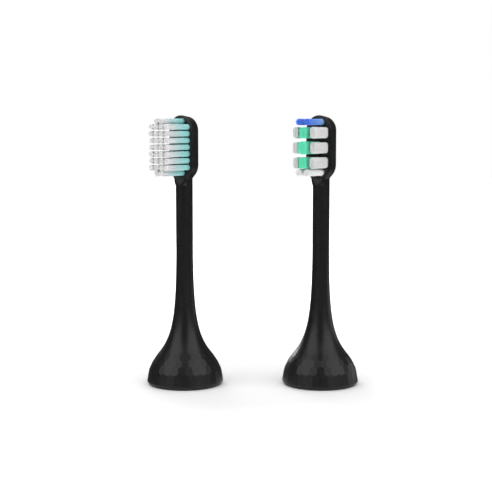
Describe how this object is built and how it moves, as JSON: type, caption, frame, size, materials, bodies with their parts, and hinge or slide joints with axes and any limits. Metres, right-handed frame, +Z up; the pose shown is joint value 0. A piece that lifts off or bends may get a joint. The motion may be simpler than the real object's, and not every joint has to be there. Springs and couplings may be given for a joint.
{
  "type": "pair of sonic toothbrush heads",
  "caption": "Two replacement brush heads for a sonic toothbrush, standing on hollow bell-shaped bases: one with round tufts, one with block-shaped bristle groups.",
  "frame": {"origin": "on the surface that the heads stand on, midway between the two heads' axes", "axes": "+Z up along the heads' axes, +X from the left head to the right head, bristles turned 39 degrees from -Y towards -X"},
  "size_m": [0.0692, 0.025, 0.0875],
  "materials": {
    "shell_plastic": "satin black moulded plastic with a facetted bell",
    "ring_rubber": "matt black soft ring",
    "sleeve_plastic": "light grey moulded plastic",
    "clip_steel": "bright spring steel",
    "cyan_white_bristle": "nylon filaments, cyan at the root and fading to white at the tip",
    "white_bristle": "white nylon filaments",
    "green_bristle": "mint green nylon filaments",
    "blue_bristle": "blue nylon filaments"
  },
  "bodies": {
    "left_head": {"left_head_shell": "shell_plastic", "left_drive_sleeve": "sleeve_plastic", "left_spring_clip": "clip_steel", "left_base_ring": "ring_rubber", "left_tuft_row1_1": "cyan_white_bristle", "left_tuft_row1_2": "cyan_white_bristle", "left_tuft_row2_1": "cyan_white_bristle", "left_tuft_row2_2": "cyan_white_bristle", "left_tuft_row2_3": "cyan_white_bristle", "left_tuft_row2_4": "cyan_white_bristle", "left_tuft_row3_1": "cyan_white_bristle", "left_tuft_row3_2": "cyan_white_bristle", "left_tuft_row3_3": "cyan_white_bristle", "left_tuft_row3_4": "cyan_white_bristle", "left_tuft_row4_1": "cyan_white_bristle", "left_tuft_row4_2": "cyan_white_bristle", "left_tuft_row4_3": "cyan_white_bristle", "left_tuft_row4_4": "cyan_white_bristle", "left_tuft_row5_1": "cyan_white_bristle", "left_tuft_row5_2": "cyan_white_bristle", "left_tuft_row5_3": "cyan_white_bristle", "left_tuft_row5_4": "cyan_white_bristle", "left_tuft_row6_1": "cyan_white_bristle", "left_tuft_row6_2": "cyan_white_bristle", "left_tuft_row6_3": "cyan_white_bristle", "left_tuft_row6_4": "cyan_white_bristle", "left_tuft_row7_1": "cyan_white_bristle", "left_tuft_row7_2": "cyan_white_bristle", "left_tuft_row7_3": "cyan_white_bristle", "left_tuft_row7_4": "cyan_white_bristle", "left_tuft_row8_1": "cyan_white_bristle", "left_tuft_row8_2": "cyan_white_bristle", "left_tuft_row8_3": "cyan_white_bristle", "left_tuft_row8_4": "cyan_white_bristle", "left_tuft_row9_1": "cyan_white_bristle", "left_tuft_row9_2": "cyan_white_bristle"},
    "right_head": {"right_head_shell": "shell_plastic", "right_bristle_plate": "shell_plastic", "right_drive_sleeve": "sleeve_plastic", "right_spring_clip": "clip_steel", "right_base_ring": "ring_rubber", "right_top_tuft_left": "blue_bristle", "right_bottom_tuft_left": "white_bristle", "right_top_tuft_right": "blue_bristle", "right_bottom_tuft_right": "white_bristle", "right_block_1_left": "white_bristle", "right_block_1_right": "white_bristle", "right_block_1_centre": "green_bristle", "right_block_2_left": "white_bristle", "right_block_2_right": "white_bristle", "right_block_2_centre": "green_bristle", "right_block_3_left": "white_bristle", "right_block_3_right": "white_bristle", "right_block_3_centre": "green_bristle"}
  },
  "joints": [
    {"name": "right_head_lift", "type": "slide", "parent": "left_head", "child": "right_head", "axis": [0, 0, 1], "range_m": [0, 0.1]}
  ]
}
